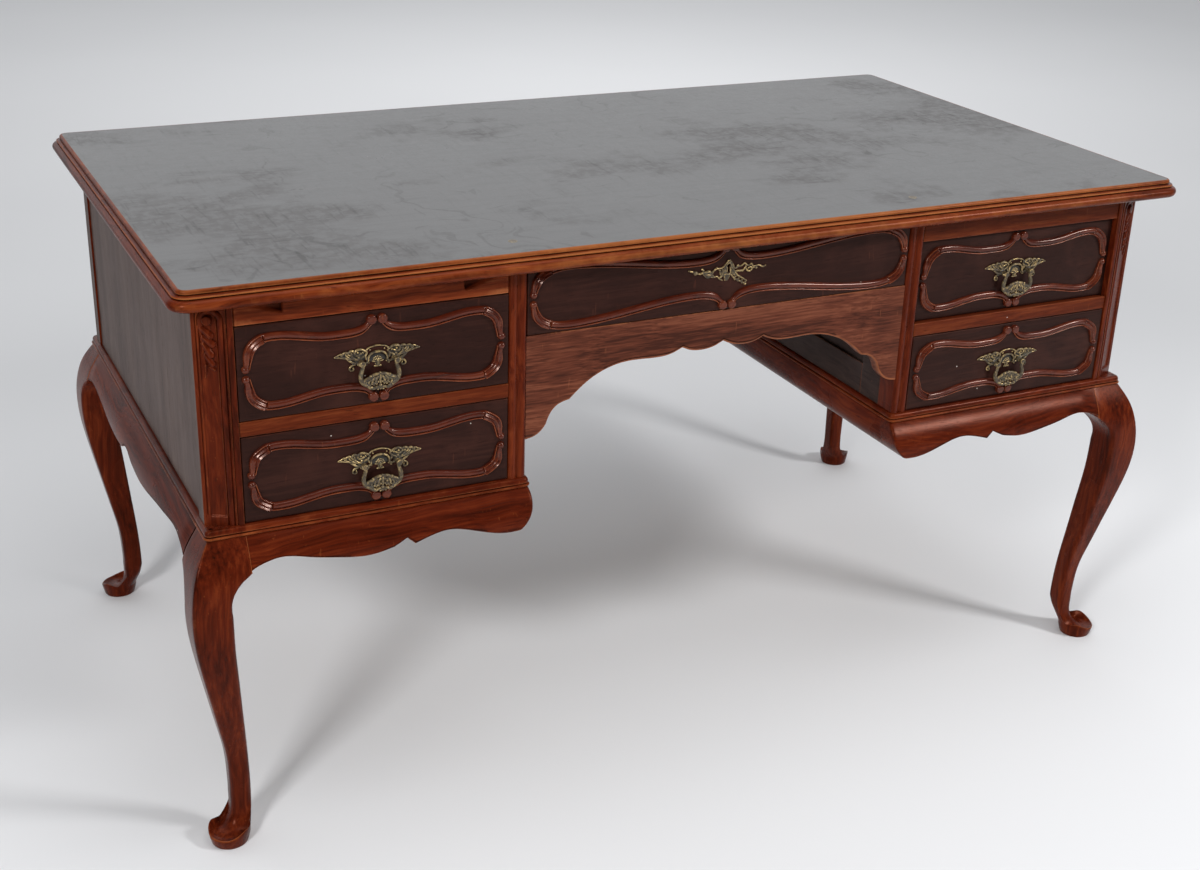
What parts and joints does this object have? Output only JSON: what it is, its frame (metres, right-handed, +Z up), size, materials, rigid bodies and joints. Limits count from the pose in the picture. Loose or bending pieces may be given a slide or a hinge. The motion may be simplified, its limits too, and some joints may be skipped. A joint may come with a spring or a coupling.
{
  "type": "captains desk",
  "caption": "Rococo-revival pedestal writing desk with a dark covered top, cabriole legs, swelling scalloped aprons, drawers with bail handles and a pull-out writing slide.",
  "frame": {"origin": "on the floor under the middle of the top", "axes": "+X along the desk's length to the sitter's right, -Y towards the sitter (the front), +Z up"},
  "size_m": [1.5, 0.826, 0.78],
  "materials": {
    "writing_top": "scuffed dark leathercloth, satin",
    "mahogany": "red-brown polished mahogany, worn at the edges",
    "drawer_wood": "near-black stained mahogany, aged polish",
    "rail_wood": "worn orange-brown mahogany",
    "apron_wood": "mid brown mahogany with visible grain",
    "panel_wood": "dark dulled mahogany",
    "case_wood": "unpolished secondary wood",
    "box_wood": "bare drawer-lining wood",
    "brass": "aged olive-gold brass with dark patina",
    "plug_brass": "dulled brass",
    "lock_iron": "dark iron"
  },
  "bodies": {
    "root": {"writing_surface": "writing_top", "top_board": "case_wood", "top_moulding": "mahogany", "top_plugs": "plug_brass", "inner_posts": "mahogany", "front_rails": "rail_wood", "dust_boards": "case_wood", "slide_runners": "case_wood", "centre_runners": "case_wood", "kneehole_apron_front": "apron_wood", "kneehole_apron_back": "apron_wood", "post_front_left": "mahogany", "leg_front_left": "mahogany", "post_front_right": "mahogany", "leg_front_right": "mahogany", "post_back_left": "mahogany", "leg_back_left": "mahogany", "post_back_right": "mahogany", "leg_back_right": "mahogany", "left_apron_front": "mahogany", "left_apron_back": "mahogany", "left_apron_inner": "mahogany", "left_apron_outer": "mahogany", "left_side_panel": "panel_wood", "left_inner_panel": "panel_wood", "left_back_panel": "panel_wood", "right_apron_front": "mahogany", "right_apron_back": "mahogany", "right_apron_inner": "mahogany", "right_apron_outer": "mahogany", "right_side_panel": "panel_wood", "right_inner_panel": "panel_wood", "right_back_panel": "panel_wood"},
    "left_upper_drawer": {"left_upper_drawer_front": "drawer_wood", "left_upper_drawer_box": "box_wood", "left_upper_drawer_mouldings": "mahogany", "left_upper_drawer_handle": "brass"},
    "left_upper_drawer_bail": {"left_upper_drawer_bail": "brass"},
    "left_lower_drawer": {"left_lower_drawer_front": "drawer_wood", "left_lower_drawer_box": "box_wood", "left_lower_drawer_mouldings": "mahogany", "left_lower_drawer_handle": "brass"},
    "left_lower_drawer_bail": {"left_lower_drawer_bail": "brass"},
    "right_upper_drawer": {"right_upper_drawer_front": "drawer_wood", "right_upper_drawer_box": "box_wood", "right_upper_drawer_mouldings": "mahogany", "right_upper_drawer_handle": "brass"},
    "right_upper_drawer_bail": {"right_upper_drawer_bail": "brass"},
    "right_lower_drawer": {"right_lower_drawer_front": "drawer_wood", "right_lower_drawer_box": "box_wood", "right_lower_drawer_mouldings": "mahogany", "right_lower_drawer_handle": "brass"},
    "right_lower_drawer_bail": {"right_lower_drawer_bail": "brass"},
    "centre_drawer": {"centre_drawer_front": "drawer_wood", "centre_drawer_box": "box_wood", "centre_drawer_mouldings": "mahogany", "centre_drawer_escutcheon": "brass", "centre_drawer_lock": "lock_iron"},
    "writing_slide": {"writing_slide_front": "mahogany", "writing_slide_leaf": "box_wood"}
  },
  "joints": [
    {"name": "left_upper_drawer_slide", "type": "slide", "parent": "root", "child": "left_upper_drawer", "axis": [0, -1, 0], "range_m": [0, 0.4]},
    {"name": "left_upper_drawer_bail_hinge", "type": "hinge", "parent": "left_upper_drawer", "child": "left_upper_drawer_bail", "pos_m": [-0.4935, -0.3795, 0.654], "axis": [-1, 0, 0], "range_deg": [0, 95]},
    {"name": "left_lower_drawer_slide", "type": "slide", "parent": "root", "child": "left_lower_drawer", "axis": [0, -1, 0], "range_m": [0, 0.4]},
    {"name": "left_lower_drawer_bail_hinge", "type": "hinge", "parent": "left_lower_drawer", "child": "left_lower_drawer_bail", "pos_m": [-0.4935, -0.3795, 0.515], "axis": [-1, 0, 0], "range_deg": [0, 95]},
    {"name": "right_upper_drawer_slide", "type": "slide", "parent": "root", "child": "right_upper_drawer", "axis": [0, -1, 0], "range_m": [0, 0.4]},
    {"name": "right_upper_drawer_bail_hinge", "type": "hinge", "parent": "right_upper_drawer", "child": "right_upper_drawer_bail", "pos_m": [0.4935, -0.3715, 0.654], "axis": [-1, 0, 0], "range_deg": [0, 95]},
    {"name": "right_lower_drawer_slide", "type": "slide", "parent": "root", "child": "right_lower_drawer", "axis": [0, -1, 0], "range_m": [0, 0.4]},
    {"name": "right_lower_drawer_bail_hinge", "type": "hinge", "parent": "right_lower_drawer", "child": "right_lower_drawer_bail", "pos_m": [0.4935, -0.3795, 0.515], "axis": [-1, 0, 0], "range_deg": [0, 95]},
    {"name": "centre_drawer_slide", "type": "slide", "parent": "root", "child": "centre_drawer", "axis": [0, -1, 0], "range_m": [0, 0.35]},
    {"name": "writing_slide_pull", "type": "slide", "parent": "root", "child": "writing_slide", "axis": [0, -1, 0], "range_m": [0, 0.3]}
  ]
}
